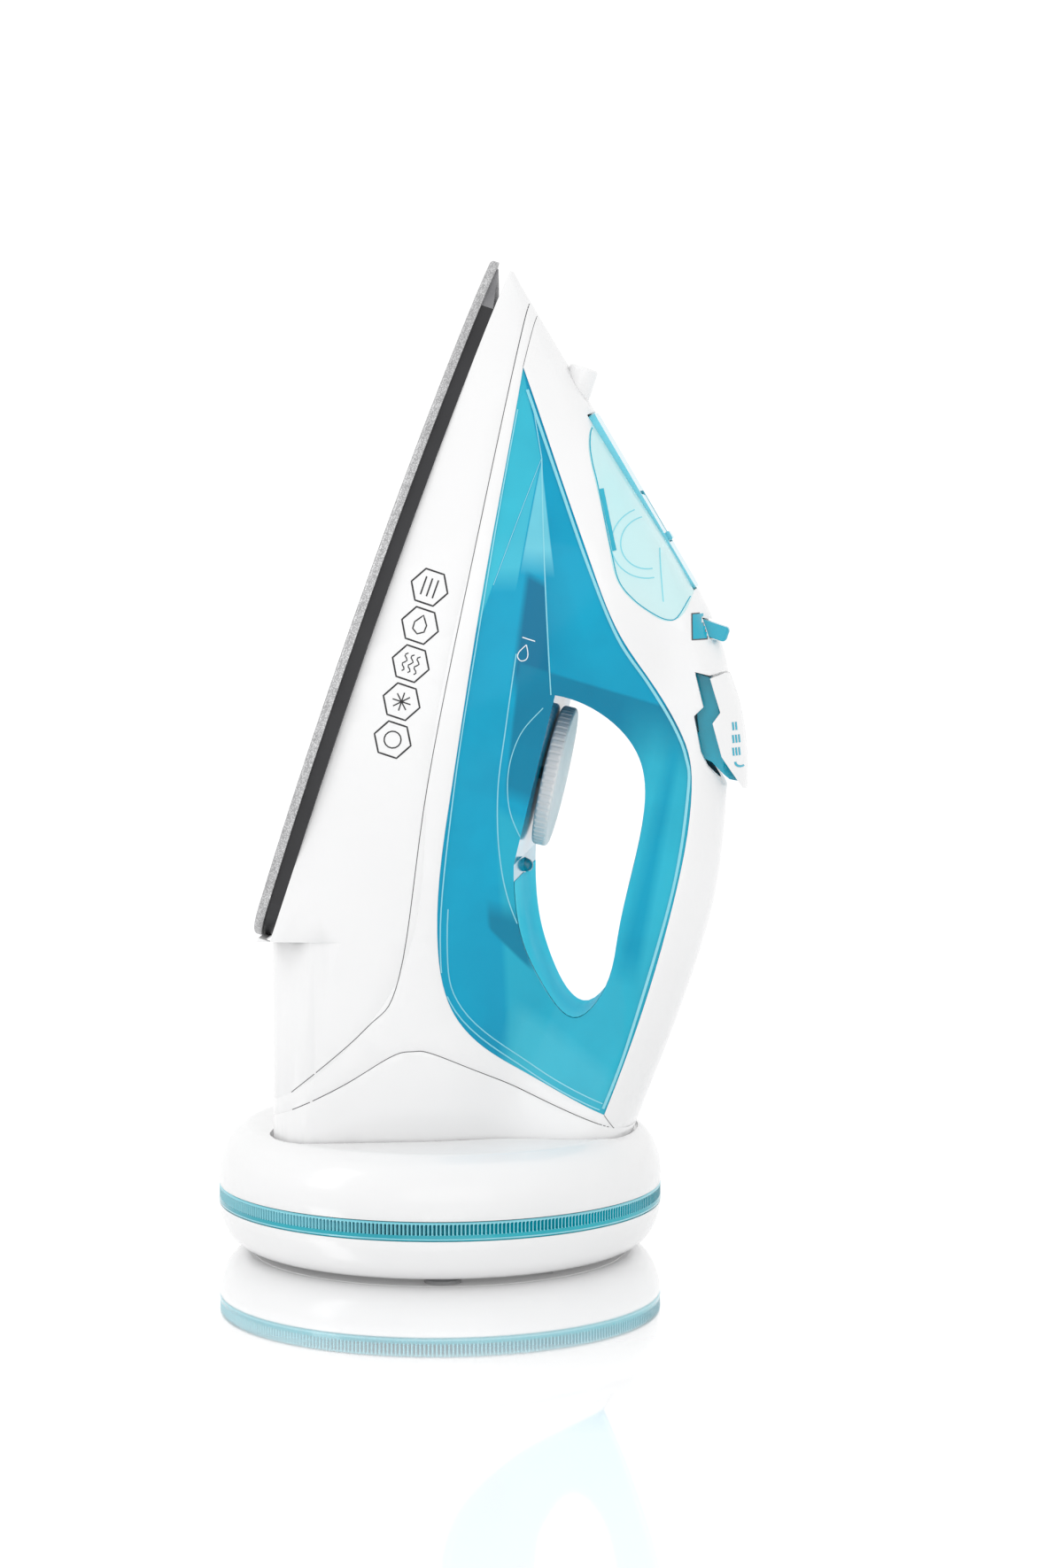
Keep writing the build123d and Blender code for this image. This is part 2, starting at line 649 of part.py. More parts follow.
def turntable_plate():
    plate = rod(68.5, 16.2, 18.4) + rod(10, 18.4, 26) - rod(6, 0, 40)
    holes = [rod(1.5, 0, 30, x, y) + rod(3, 0, 17.4, x, y) for x, y in polar(4, 60, 20)]
    brushes = [slab((r - 3, -4, 10), (r + 3, 4, 30)) for r in (32, 42)]
    return plate - holes - brushes


def contact_brushes():
    return [slab((r - 2, -3.5, 15.7), (r + 2, 3.5, 21)) + slab((r - 3, -4, 16.2), (r + 3, 4, 18.4))
            for r in (32, 42)]


def turntable_screws():
    return [rod(1.5, 16.4, 26, x, y) + rod(2.8, 16.3, 17.4, x, y) for x, y in polar(4, 60, 20)]


def base_top_shell():
    """White dome above the ring, with a seat for the heel."""
    dome = Spline((BASE_RADIUS, 21.9), (BASE_RADIUS + 0.1, 26), (73.3, 31), (71.3, 35.6),
                  (68.6, 38.9), (65.6, 40.8), (62, 41.6), tangents=[(0.04, 1), (-1, 0)])
    outer = turned(dome, (0, 41.6), (0, 21.9))
    inner = turned(Polyline((71.6, 21), (71.8, 26), (71, 30.3), (69, 34.2), (66.2, 36.4), (62, 37)),
                   (0, 37), (0, 21))
    skirt = tube(68.4, 66, 18.4, 37)
    posts = [rod(4, 18.4, 37, x, y) - rod(1.5, 0, 26, x, y) for x, y in polar(4, 60, 20)]
    shell = outer - inner + (skirt & (inner + rod(80, 18.4, 21))) + posts
    return shell - heel_recess()


def dock_plug():
    block = slab((-13, -6, HEEL_FLOOR_Z - SEAT_GAP), (13, 6, 46.5))
    return fillet(block.edges().filter_by(Axis.Z), 2)


def dock_pins():
    return [rod(1.5, 46.5, 48.8, x) for x in (-9, 0, 9)]


# ---- assembly ----
def write(name, shape, place=Pos(0, 0, 0)):
    """Write one node, each of its solids placed in the row frame."""
    shapes = shape if isinstance(shape, list) else [shape]
    solids = [place * solid for item in shapes for solid in item.solids()]
    export_step(solids[0] if len(solids) == 1 else Compound(solids), f"parts/{name}.step")


MAIN_HOUSING, HANDLE_COVER = upper_shells()

IN_IRON = {
    "soleplate": soleplate(), "heating_plate": heating_plate(),
    "heating_element": heating_element(), "chamber_cover": chamber_cover(),
    "cover_screws": cover_screws(), "heat_skirt": heat_skirt(), "lower_casing": lower_casing(),
    "main_housing": MAIN_HOUSING, "handle_cover": HANDLE_COVER, "water_tank": water_tank(),
    "tank_bulkhead": tank_bulkhead(), "heel_cover": heel_cover(), "inlet_window": inlet_window(),
    "inlet_frame": inlet_frame(), "filler_funnel": filler_funnel(), "filler_door": filler_door(),
    "door_pin": door_pin(), "spray_nozzle": spray_nozzle(),
    "spray_hose": spray_hose(), "thermostat": thermostat(), "thermal_fuse": thermal_fuse(),
    "valve_body": valve_body(), "valve_seal": valve_seal(), "steam_needle": valve_needle(),
    "temperature_dial": dial(), "dial_shaft": dial_shaft(), "steam_lever": steam_lever(),
    "button_pin": button_pin(), "pilot_lens": pilot_lens(),
    "spray_button_cap": button_cap(1), "spray_button_body": button_body(1),
    "spray_pump": pump_body(1), "spray_piston": pump_piston(1),
    "steam_button_cap": button_cap(-1), "steam_button_body": button_body(-1),
    "steam_pump": pump_body(-1), "steam_piston": pump_piston(-1),
}
IN_ROW = {
    "heel_socket": heel_socket(), "heel_contacts": heel_contacts(), "heel_screws": heel_screws(),
    "terminal_block": terminal_block(), "power_leads": power_leads(),
}
IN_BASE = {
    "base_pan": base_pan(), "base_feet": base_feet(), "base_screws": base_screws(),
    "base_lower_shell": base_lower_shell(), "cord_gland": cord_gland(), "light_ring": light_ring(),
    "bearing_plate": bearing_plate(), "spindle": spindle(), "spindle_clip": spindle_clip(),
    "thrust_washer": thrust_washer(), "contact_tracks": contact_tracks(),
    "mains_terminals": mains_terminals(), "turntable_plate": turntable_plate(),
    "contact_brushes": contact_brushes(), "turntable_screws": turntable_screws(),
    "base_top_shell": base_top_shell(), "dock_plug": dock_plug(), "dock_pins": dock_pins(),
}

os.makedirs("parts", exist_ok=True)
for name, shape in IN_IRON.items():
    write(name, shape, IRON.location)
for name, shape in IN_ROW.items():
    write(name, shape)
for name, shape in IN_BASE.items():
    write(name, shape, BASE)
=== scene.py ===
import json
import math

import bmesh
import bpy
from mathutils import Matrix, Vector
from mathutils.bvhtree import BVHTree
from mathutils.geometry import interpolate_bezier


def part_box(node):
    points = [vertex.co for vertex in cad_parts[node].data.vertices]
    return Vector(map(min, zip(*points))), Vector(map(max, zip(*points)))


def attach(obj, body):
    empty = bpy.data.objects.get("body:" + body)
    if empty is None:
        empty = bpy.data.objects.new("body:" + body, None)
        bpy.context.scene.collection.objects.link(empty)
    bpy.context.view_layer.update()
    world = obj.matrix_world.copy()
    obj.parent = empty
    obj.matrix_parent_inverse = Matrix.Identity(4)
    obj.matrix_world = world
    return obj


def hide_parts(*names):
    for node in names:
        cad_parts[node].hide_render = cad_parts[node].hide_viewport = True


# Cordless steam iron on its swivelling base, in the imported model's frame. Lengths are in metres,
# except that side-view points are x, z of the iron's own frame in millimetres. Colours are linear.

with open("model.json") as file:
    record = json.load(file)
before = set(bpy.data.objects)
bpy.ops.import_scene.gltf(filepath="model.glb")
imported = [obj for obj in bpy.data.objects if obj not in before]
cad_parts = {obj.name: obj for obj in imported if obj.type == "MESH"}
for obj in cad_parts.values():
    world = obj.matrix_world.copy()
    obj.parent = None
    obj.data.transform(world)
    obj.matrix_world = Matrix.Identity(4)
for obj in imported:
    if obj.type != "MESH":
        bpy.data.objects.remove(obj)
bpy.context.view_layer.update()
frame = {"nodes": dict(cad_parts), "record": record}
NODES = frame["nodes"]
for imported in list(bpy.data.materials):
    bpy.data.materials.remove(imported)

# ---- the iron's own frame: x along the sole, z from the sole to the handle ----
MM = 0.001
LEAN = math.radians(18.5)
SIN, COS = math.sin(LEAN), math.cos(LEAN)
HEEL = Vector((-70.2, 0, 109))      # rear end of the sole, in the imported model's frame
BASE_X = -14.2                      # axis of the round base


def iron(x, y, z):
    """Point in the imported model's frame, in metres, from the iron's frame in millimetres."""
    across = SIN * x + COS * z
    up = COS * x - SIN * z
    return Vector((HEEL.x + across, -y, HEEL.z + up)) * MM


# ---- materials ----
FLOW_DEPTH = 0.00001                # depth of the mould's flow lines in clear plastic


def new_material(name):
    """Empty node material, its tree and its shader."""
    mat = bpy.data.materials.new(name)
    mat.use_nodes = True
    tree = mat.node_tree
    return mat, tree, tree.nodes["Principled BSDF"]


def noise(tree, scale, detail=3.0):
    """Noise in the piece's own coordinates, in metres."""
    place = tree.nodes.new("ShaderNodeTexCoord")
    texture = tree.nodes.new("ShaderNodeTexNoise")
    texture.inputs["Scale"].default_value = scale
    texture.inputs["Detail"].default_value = detail
    tree.links.new(place.outputs["Object"], texture.inputs["Vector"])
    return texture.outputs["Fac"]


def ramp(tree, value, low, high, start=0.3, end=0.7):
    """Colour ramp between two colours or two grey levels."""
    node = tree.nodes.new("ShaderNodeValToRGB")
    node.color_ramp.elements[0].position = start
    node.color_ramp.elements[1].position = end
    for element, colour in zip(node.color_ramp.elements, (low, high)):
        element.color = (*colour, 1) if isinstance(colour, tuple) else (*[colour] * 3, 1)
    tree.links.new(value, node.inputs["Fac"])
    return node.outputs["Color"]


def bump(tree, shader, height, distance, strength):
    """Relief of the given depth in metres, softened by the strength."""
    node = tree.nodes.new("ShaderNodeBump")
    node.inputs["Distance"].default_value = distance
    node.inputs["Strength"].default_value = strength
    tree.links.new(height, node.inputs["Height"])
    tree.links.new(node.outputs["Normal"], shader.inputs["Normal"])


def multiplied(tree, colour, shade, share=0.8):
    """A colour darkened by a shade."""
    mix = tree.nodes.new("ShaderNodeMix")
    mix.data_type = "RGBA"
    mix.blend_type = "MULTIPLY"
    mix.inputs["Factor"].default_value = share
    tree.links.new(colour, mix.inputs["A"])
    tree.links.new(shade, mix.inputs["B"])
    return mix.outputs["Result"]


def moulded(name, low, high, rough=(0.2, 0.3), coat=0.0, grain=2400, depth=0.00002):
    """Moulded plastic: faint colour clouding, uneven gloss and a fine grain."""
    mat, tree, shader = new_material(name)
    tree.links.new(ramp(tree, noise(tree, 22), low, high), shader.inputs["Base Color"])
    tree.links.new(ramp(tree, noise(tree, 90, 5), rough[0], rough[1]), shader.inputs["Roughness"])
    bump(tree, shader, noise(tree, grain, 2), depth, 0.35)
    shader.inputs["Coat Weight"].default_value = coat
    shader.inputs["Coat Roughness"].default_value = 0.06
    return mat


def metal(name, low, high, rough, grain=900, depth=0.00003):
    """Metal with uneven polish and a fine tool texture."""
    mat, tree, shader = new_material(name)
    tree.links.new(ramp(tree, noise(tree, 60, 6), low, high), shader.inputs["Base Color"])
    tree.links.new(ramp(tree, noise(tree, 200, 4), rough[0], rough[1]), shader.inputs["Roughness"])
    bump(tree, shader, noise(tree, grain, 4), depth, 0.5)
    shader.inputs["Metallic"].default_value = 1.0
    return mat


def speckled(name):
    """Silver ceramic coat with fine dark and bright specks."""
    mat, tree, shader = new_material(name)
    place = tree.nodes.new("ShaderNodeTexCoord")
    cells = tree.nodes.new("ShaderNodeTexVoronoi")
    cells.inputs["Scale"].default_value = 2100
    tree.links.new(place.outputs["Object"], cells.inputs["Vector"])
    specks = ramp(tree, cells.outputs["Distance"], (0.74, 0.74, 0.745), (0.42, 0.42, 0.425),
                  0.18, 0.62)
    clouds = ramp(tree, noise(tree, 420, 6), (0.75, 0.75, 0.75), (1, 1, 1))
    tree.links.new(multiplied(tree, specks, clouds), shader.inputs["Base Color"])
    tree.links.new(ramp(tree, noise(tree, 300, 4), 0.32, 0.46), shader.inputs["Roughness"])
    bump(tree, shader, cells.outputs["Distance"], 0.00004, 0.4)
    shader.inputs["Metallic"].default_value = 0.75
    return mat


def tinted(name, low, high, rough, transmission, ior=1.45, coat=0.3):
    """Clear tinted plastic with slight flow lines from the mould."""
    mat, tree, shader = new_material(name)
    tree.links.new(ramp(tree, noise(tree, 14, 2), low, high), shader.inputs["Base Color"])
    tree.links.new(ramp(tree, noise(tree, 70, 3), rough[0], rough[1]), shader.inputs["Roughness"])
    bump(tree, shader, noise(tree, 160, 2), FLOW_DEPTH, 0.4)
    shader.inputs["Transmission Weight"].default_value = transmission
    shader.inputs["IOR"].default_value = ior
    shader.inputs["Coat Weight"].default_value = coat
    shader.inputs["Coat Roughness"].default_value = 0.03
    return mat


def side_of(tree, place, start, end, inside):
    """Distance along the normal of a side-view line, and the line's own distance.

    The normal points to the side on which the point called inside lies.
    """
    a, b, ref = (iron(x, 0, z) for x, z in (start, end, inside))
    along = (b - a).normalized()
    normal = Vector((-along.z, 0, along.x))
    if normal.dot(ref - a) < 0:
        normal = -normal
    dot = tree.nodes.new("ShaderNodeVectorMath")
    dot.operation = "DOT_PRODUCT"
    dot.inputs[1].default_value = normal
    tree.links.new(place.outputs["Object"], dot.inputs[0])
    return dot.outputs["Value"], normal.dot(a)


def facet_mask(tree, place, sides):
    """One inside every given line and nought outside, each line with its own softness."""
    mask = None
    for start, end, inside, soft in sides:
        value, offset = side_of(tree, place, start, end, inside)
        edge = tree.nodes.new("ShaderNodeMath")
        edge.operation = "MULTIPLY_ADD"
        edge.use_clamp = True
        edge.inputs[1].default_value = 1 / (soft * MM)
        edge.inputs[2].default_value = -offset / (soft * MM)
        tree.links.new(value, edge.inputs[0])
        if mask is None:
            mask = edge.outputs["Value"]
            continue
        both = tree.nodes.new("ShaderNodeMath")
        both.operation = "MULTIPLY"
        tree.links.new(mask, both.inputs[0])
        tree.links.new(edge.outputs["Value"], both.inputs[1])
        mask = both.outputs["Value"]
    return mask


def layer(tree, below, colour, mask):
    """Paints a colour over what is below where the mask is one."""
    mix = tree.nodes.new("ShaderNodeMix")
    mix.data_type = "RGBA"
    tree.links.new(mask, mix.inputs["Factor"])
    tree.links.new(below, mix.inputs["A"])
    mix.inputs["B"].default_value = (*colour, 1)
    return mix.outputs["Result"]


# Painted light and shade on the tank's facets: a colour, then lines of start, end, a point inside
# and the line's softness
TANK_TIP = (201.4, 23)
CREST = (175.5, 39)
DEEP_END, PALE_END, CREASE_END = (132.5, 38.5), (143.1, 55.1), (104.7, 67)
FACET_LIGHT_AND_SHADE = (
    # apex face, up to the crease from the crest to the sole side, with painted light
    ((0.05, 0.60, 0.78), ((CREST, DEEP_END, (150, 30), 0.4), (TANK_TIP, CREST, (190, 20), 0.4))),
    # face above the crease, with painted shade, darkest beside it
    ((0.0, 0.34, 0.56), ((CREST, CREASE_END, (140, 80), 0.4), (CREST, (108, 84), (120, 60), 12),
                         ((104, 50), (104, 110), (120, 80), 14))),
    # side wedge, with painted light
    ((0.07, 0.60, 0.78), ((CREST, DEEP_END, (150, 60), 0.4), (CREST, (140.9, 44.7), (140, 38), 0.4),
                          ((129, 36), (134, 50), (160, 48), 8))),
    # wedge between the creases, with the palest painted light
    ((0.19, 0.71, 0.86), ((CREST, (140.9, 44.7), (150, 52), 0.4), (CREST, PALE_END, (145, 40), 0.4),
                          ((137, 40), (141, 58), (160, 48), 9))),
    # painted shade of the inside behind the fill mark, with a level edge above it
    ((0.0, 0.20, 0.37), ((CREST, (116.7, 51), (120, 60), 2), (CREST, CREASE_END, (120, 50), 0.4),
                         ((141, 45), (138, 60), (110, 55), 2.5),
                         ((100, 50), (100, 75), (120, 60), 9))),
    # painted shade on the doubled wall beside the dial
    ((0.0, 0.26, 0.44), (((112, 54), (60, 65), (90, 80), 1), ((112, 50), (112, 80), (80, 60), 1),
                         ((70, 50), (66, 80), (90, 60), 5))),
    # painted light on the wall between the sole side and the hand hole
    ((0.02, 0.50, 0.70), (((76, 57), (20, 78), (50, 90), 2), ((68, 50), (64, 80), (30, 70), 4))),
    # painted light on the handle side of the loop
    ((0.03, 0.55, 0.74), (((125, 88), (60, 92), (80, 120), 14),
                          ((122, 60), (108, 120), (60, 120), 18))),
    # painted shade in a band inside the edge of the handle
    ((0.0, 0.42, 0.64), (((104, 112), (60, 118.5), (60, 110), 3),
                         ((90, 107), (40, 111), (60, 125), 5),
                         ((106, 60), (106, 120), (40, 110), 8),
                         ((20, 60), (20, 120), (60, 110), 12))),
    # painted light on the foot of the loop, then painted shade in a pocket
    ((0.06, 0.58, 0.76), (((16, 60), (-6, 125), (-10, 80), 5), ((-20, 88), (30, 82), (0, 120), 6))),
    ((0.0, 0.27, 0.44), (((27, 70), (14, 92), (40, 90), 1), ((14, 76), (40, 66), (20, 100), 1.5),
                         ((36, 60), (36, 100), (10, 80), 6), ((10, 92), (40, 84), (20, 70), 3))),
)


def faceted_tank(name):
    """Tinted tank: clear plastic in flat faces, with painted light and shade laid on face by face,
    and painted shade where the wall is doubled.
    """
    mat, tree, shader = new_material(name)
    place = tree.nodes.new("ShaderNodeTexCoord")
    colour = ramp(tree, noise(tree, 26, 3), (0.0, 0.38, 0.62), (0.0, 0.45, 0.70))
    # lays each facet's painted light and shade over the tank's own colour
    for facet_shading, sides in FACET_LIGHT_AND_SHADE:
        colour = layer(tree, colour, facet_shading, facet_mask(tree, place, sides))
    clouds = ramp(tree, noise(tree, 34, 4), (0.82, 0.88, 0.9), (1, 1, 1), 0.36, 0.56)
    tree.links.new(multiplied(tree, colour, clouds), shader.inputs["Base Color"])
    tree.links.new(ramp(tree, noise(tree, 70, 3), 0.06, 0.12), shader.inputs["Roughness"])
    bump(tree, shader, noise(tree, 160, 2), FLOW_DEPTH, 0.4)
    shader.inputs["Transmission Weight"].default_value = 0.2
    shader.inputs["IOR"].default_value = 1.45
    shader.inputs["Specular IOR Level"].default_value = 0.2
    return mat


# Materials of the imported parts, named by their slots. Colour and gloss are given as ranges.
WHITE = moulded("white_shell", (0.832, 0.832, 0.834), (0.852, 0.852, 0.854), (0.2, 0.25), 0.35)
TANK = faceted_tank("tank_tint")
CLEAR = tinted("window_clear", (0.60, 0.97, 1.0), (0.82, 1.0, 1.0), (0.03, 0.07), 0.22)
TEAL = moulded("control_teal", (0.0, 0.36, 0.50), (0.005, 0.42, 0.57), (0.16, 0.26), 0.3)
SILVER = speckled("sole_silver")
CAST = metal("cast_aluminium", (0.20, 0.20, 0.21), (0.32, 0.32, 0.33), (0.42, 0.6), 600, 0.0001)
STEEL = metal("sheet_steel", (0.5, 0.5, 0.51), (0.62, 0.62, 0.63), (0.25, 0.4))
BRASS = metal("contact_brass", (0.62, 0.44, 0.18), (0.76, 0.58, 0.28), (0.22, 0.35))
SKIRT = moulded("skirt_black", (0.012, 0.012, 0.014), (0.02, 0.02, 0.023), (0.35, 0.5),
                grain=1500, depth=0.00004)
DIAL = moulded("dial_grey", (0.72, 0.715, 0.71), (0.8, 0.795, 0.79), (0.32, 0.42),
               grain=1800, depth=0.00003)
NYLON = moulded("natural_nylon", (0.66, 0.65, 0.6), (0.74, 0.73, 0.69), (0.4, 0.55),
                grain=1500, depth=0.00003)
DARK = moulded("dark_plastic", (0.02, 0.02, 0.022), (0.035, 0.035, 0.038), (0.4, 0.55),
               grain=1500, depth=0.00004)
HOSE = moulded("hose_rubber", (0.5, 0.52, 0.52), (0.58, 0.6, 0.6), (0.4, 0.5),
               grain=1500, depth=0.00003)
FOOT = moulded("foot_rubber", (0.16, 0.165, 0.17), (0.22, 0.225, 0.23), (0.6, 0.75),
               grain=1200, depth=0.00006)
LENS = tinted("lens_teal", (0.0, 0.30, 0.42), (0.01, 0.38, 0.5), (0.05, 0.1), 0.5)
RING = tinted("ring_teal", (0.0, 0.36, 0.46), (0.01, 0.5, 0.6), (0.05, 0.12), 0.2)

# Materials of the pieces made here, and of the window's frame and door
# pale cyan: painted highlights on the tank, painted light on the ring's ribs and lip, and the
# funnel's outline seen through the window
PALE_CYAN = tinted("pale_cyan", (0.24, 0.74, 0.86), (0.34, 0.82, 0.92), (0.05, 0.1), 0.2)
# cyan of the hand hole's wall, lightened with painted light passing through the tank
LIT_LINING = tinted("lit_lining_cyan", (0.0, 0.62, 0.80), (0.10, 0.76, 0.90), (0.3, 0.4), 0.0,
                ior=1.03, coat=0.0)
FRAME = tinted("frame_cyan", (0.10, 0.62, 0.78), (0.26, 0.76, 0.88), (0.05, 0.1), 0.15)
# painted shade in the gaps between the ring's ribs
RIB_GAP_SHADE = tinted("rib_gap_shade", (0.0, 0.03, 0.05), (0.0, 0.36, 0.46), (0.1, 0.2), 0.0,
                 ior=1.2, coat=0.0)
GAP = moulded("shell_gap", (0.09, 0.09, 0.095), (0.14, 0.14, 0.145), (0.6, 0.8))
PRINT = moulded("print_ink", (0.012, 0.012, 0.014), (0.03, 0.03, 0.032), (0.4, 0.55))
MARK = moulded("print_white", (0.75, 0.85, 0.88), (0.82, 0.9, 0.92), (0.4, 0.55))

MATERIALS = {m.name: m for m in (WHITE, TANK, CLEAR, TEAL, SILVER, CAST, STEEL, BRASS, SKIRT, DIAL,
                                 NYLON, DARK, HOSE, FOOT, LENS, RING)}

for part in frame["record"]["subparts"]:
    node = NODES[part["node"]]
    node.data.materials.clear()
    node.data.materials.append(MATERIALS[part["material_slot"]])
for name in ("inlet_frame", "filler_door"):
    NODES[name].data.materials.clear()
    NODES[name].data.materials.append(FRAME)

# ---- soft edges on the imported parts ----
WELD_REACH = 0.000004
SHARP_ANGLE = 35


def soften(names, width):
    """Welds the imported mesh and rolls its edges, so that joints show as fine grooves."""
    for name in names:
        node = NODES[name]
        weld = node.modifiers.new("weld", "WELD")
        weld.merge_threshold = WELD_REACH
        roll = node.modifiers.new("roll", "BEVEL")
        roll.width = width
        roll.segments = 2
        roll.limit_method = "ANGLE"
        roll.angle_limit = math.radians(SHARP_ANGLE)
        roll.harden_normals = True
        roll.use_clamp_overlap = True


CASING = ("lower_casing", "main_housing", "handle_cover", "heel_cover")
soften(CASING, 0.00035)
soften(("base_top_shell", "base_lower_shell", "spray_button_cap", "steam_button_cap",
        "spray_button_body", "steam_button_body", "steam_lever", "soleplate"), 0.0004)

# ---- pieces made in mesh code ----
# heights off the shell, in metres
SEAM_LIFT = 0.00003
PRINT_LIFT = 0.00006
SHAPE_LIFT = 0.00007
TRIM_LIFT = 0.00008
LINE_LIFT = 0.0001
BED_LIFT = 0.00012
# next: lift of the painted highlight bands round the tank's edge
EDGE_HIGHLIGHT_LIFT = 0.00025
SIDES = (-1, 1)                     # the side towards the camera, then the far one
STEEPEST = 2.6                      # rise over run at which a ribbon's face is left out
FAR_SIDE = 0.3                      # metres from the middle plane, outside the iron


def new_piece(name, mesh_data, material, body, smooth=True):
    """Object from a bmesh, riding on a body."""
    mesh = bpy.data.meshes.new(name)
    bmesh.ops.recalc_face_normals(mesh_data, faces=mesh_data.faces)
    mesh_data.to_mesh(mesh)
    mesh_data.free()
    if smooth:
        mesh.shade_smooth()
    piece = bpy.data.objects.new(name, mesh)
    mesh.materials.append(material)
    bpy.context.scene.collection.objects.link(piece)
    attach(piece, body)
    return piece


def shell_tree(*names):
    """Ray-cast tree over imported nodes."""
    vertices, faces = [], []
    for name in names:
        mesh = NODES[name].data
        base = len(vertices)
        vertices += [v.co.copy() for v in mesh.vertices]
        faces += [[base + i for i in face.vertices] for face in mesh.polygons]
    return BVHTree.FromPolygons(vertices, faces)


def on_side(tree, x, z, lift=PRINT_LIFT, side=-1):
    """Point on the shell at x, z of the iron's frame, seen from the side, lifted off it."""
    start = iron(x, 0, z)
    start.y = side * FAR_SIDE
    hit, normal, _, _ = tree.ray_cast(start, Vector((0, -side, 0)))
    if hit is None:
        return None
    if normal.y * side < 0:
        normal = -normal
    return hit + normal * lift


def ribbon(mesh_data, tree, points, width, closed=False, step=1.0, side=-1, lift=PRINT_LIFT,
           columns=1):
    """Printed or moulded line of even width, laid on the shell along a side-view path.

    A wide one has more columns, so that it follows the curve of the shell.
    """
    path = []
    runs = list(zip(points, points[1:] + points[:1] if closed else points[1:]))
    for start, end in runs:
        start, end = Vector(start), Vector(end)
        count = max(1, int((end - start).length / step))
        path += [start.lerp(end, i / count) for i in range(count)]
    if not closed:
        path.append(Vector(points[-1]))
    rows = []
    for i, point in enumerate(path):
        before = path[i - 1] if (i or closed) else point
        after = path[(i + 1) % len(path)] if (i + 1 < len(path) or closed) else point
        along = (after - before).normalized()
        across = Vector((-along.y, along.x)) * width
        row = [on_side(tree, *(point + across * (k / columns - 0.5)), lift, side)
               for k in range(columns + 1)]
        rows.append([place and mesh_data.verts.new(place) for place in row])
    pairs = list(zip(rows, rows[1:] + rows[:1] if closed else rows[1:]))
    for first, second in pairs:
        for k in range(columns):
            corners = (first[k], second[k], second[k + 1], first[k + 1])
            if not all(corners):
                continue
            steep = max(abs(a.co.y - b.co.y) for a in corners for b in corners)
            if steep < STEEPEST * MM * max(step, width / columns):
                mesh_data.faces.new(corners)


def smooth_path(points, count=8):
    """Points along a smooth curve through the given ones."""
    out = []
    pts = [Vector(p) for p in points]
    for i in range(len(pts) - 1):
        before = pts[max(0, i - 1)]
        after = pts[min(len(pts) - 1, i + 2)]
        pull_out = pts[i] + (pts[i + 1] - before) / 6
        pull_in = pts[i + 1] - (after - pts[i]) / 6
        step = interpolate_bezier(pts[i], pull_out, pull_in, pts[i + 1], count + 1)
        out += [tuple(p)[:2] for p in step[:-1]]
    out.append(tuple(pts[-1])[:2])
    return out


# Side-view lines of the casing
TANK_HEEL = (-21, 126.7)
TANK_UPPER = (TANK_TIP, (169.7, 48.5), (148.5, 65.5), (129.4, 81.8), (118.2, 95.4), (107.6, 107.6),
              (98.9, 114.9), (88.1, 119.4), (54.9, 125.2), (3.2, 127.4), TANK_HEEL)
TANK_LOWER = (TANK_HEEL, (-16.4, 99.5), (-3.4, 70.1), (18.2, 57.8), (65.8, 47.1), (126.5, 36.5),
              TANK_TIP)
SEAM_LOWER = ((222.4, 16.8), (150, 27.9), (66.6, 39.3), (3.4, 50.1), (-16.4, 45.2), (-44.4, 28.7))
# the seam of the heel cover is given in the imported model's frame instead
SEAM_HEEL = ((-56.8, 52.1), (-40.2, 60.4), (-24.5, 69.9), (-17.6, 71.5), (-10.6, 70.3), (9, 61.2),
             (23.6, 53.9), (46.3, 44.2))
DIAL_WELL = ((100, 66), (90, 62), (78, 62), (66, 66), (57, 73), (52, 79))
INNER_WALL = ((114, 52.5), (90, 57), (70, 61), (50, 68), (34, 77), (20, 90), (12, 104))
FOLD = ((219.4, 20.5), TANK_TIP)
HEEL_FOLD = (TANK_HEEL, (-24.6, 131))
WINDOW_EDGE = ((197, 52.6), (190.5, 49.8), (185, 50.9), (178.9, 54.1), (172, 58.7), (153.7, 69.9),
               (145.6, 75.3), (141.4, 81.6), (139, 88.4), (138.3, 94), (140.4, 97.3), (148.1, 98.9))


def heel_side(point):
    """Iron-frame x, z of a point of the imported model's frame, in millimetres."""
    dx, dz = point[0] - HEEL.x, point[1] - HEEL.z
    return SIN * dx + COS * dz, COS * dx - SIN * dz


def shifted(path, by):
    """Side-view path moved to its left as walked, seen with x to the right and z up."""
    out = []
    for i, point in enumerate(path):
        before, after = Vector(path[max(0, i - 1)]), Vector(path[min(len(path) - 1, i + 1)])
        along = (after - before).normalized()
        out.append((point[0] - by * along.y, point[1] + by * along.x))
    return out


def seam_lines():
    """Fine dark gaps where the casing's shells meet, on both sides."""
    tree = shell_tree(*CASING)
    lines = bmesh.new()
    heel_seam = smooth_path([heel_side(point) for point in SEAM_HEEL])
    seams = ((smooth_path(SEAM_LOWER), 0.26), (heel_seam, 0.26), (FOLD, 0.16), (HEEL_FOLD, 0.2))
    for side in SIDES:
        for path, width in seams:
            ribbon(lines, tree, path, width, side=side, lift=SEAM_LIFT)
    new_piece("shell_seams", lines, GAP, "iron")


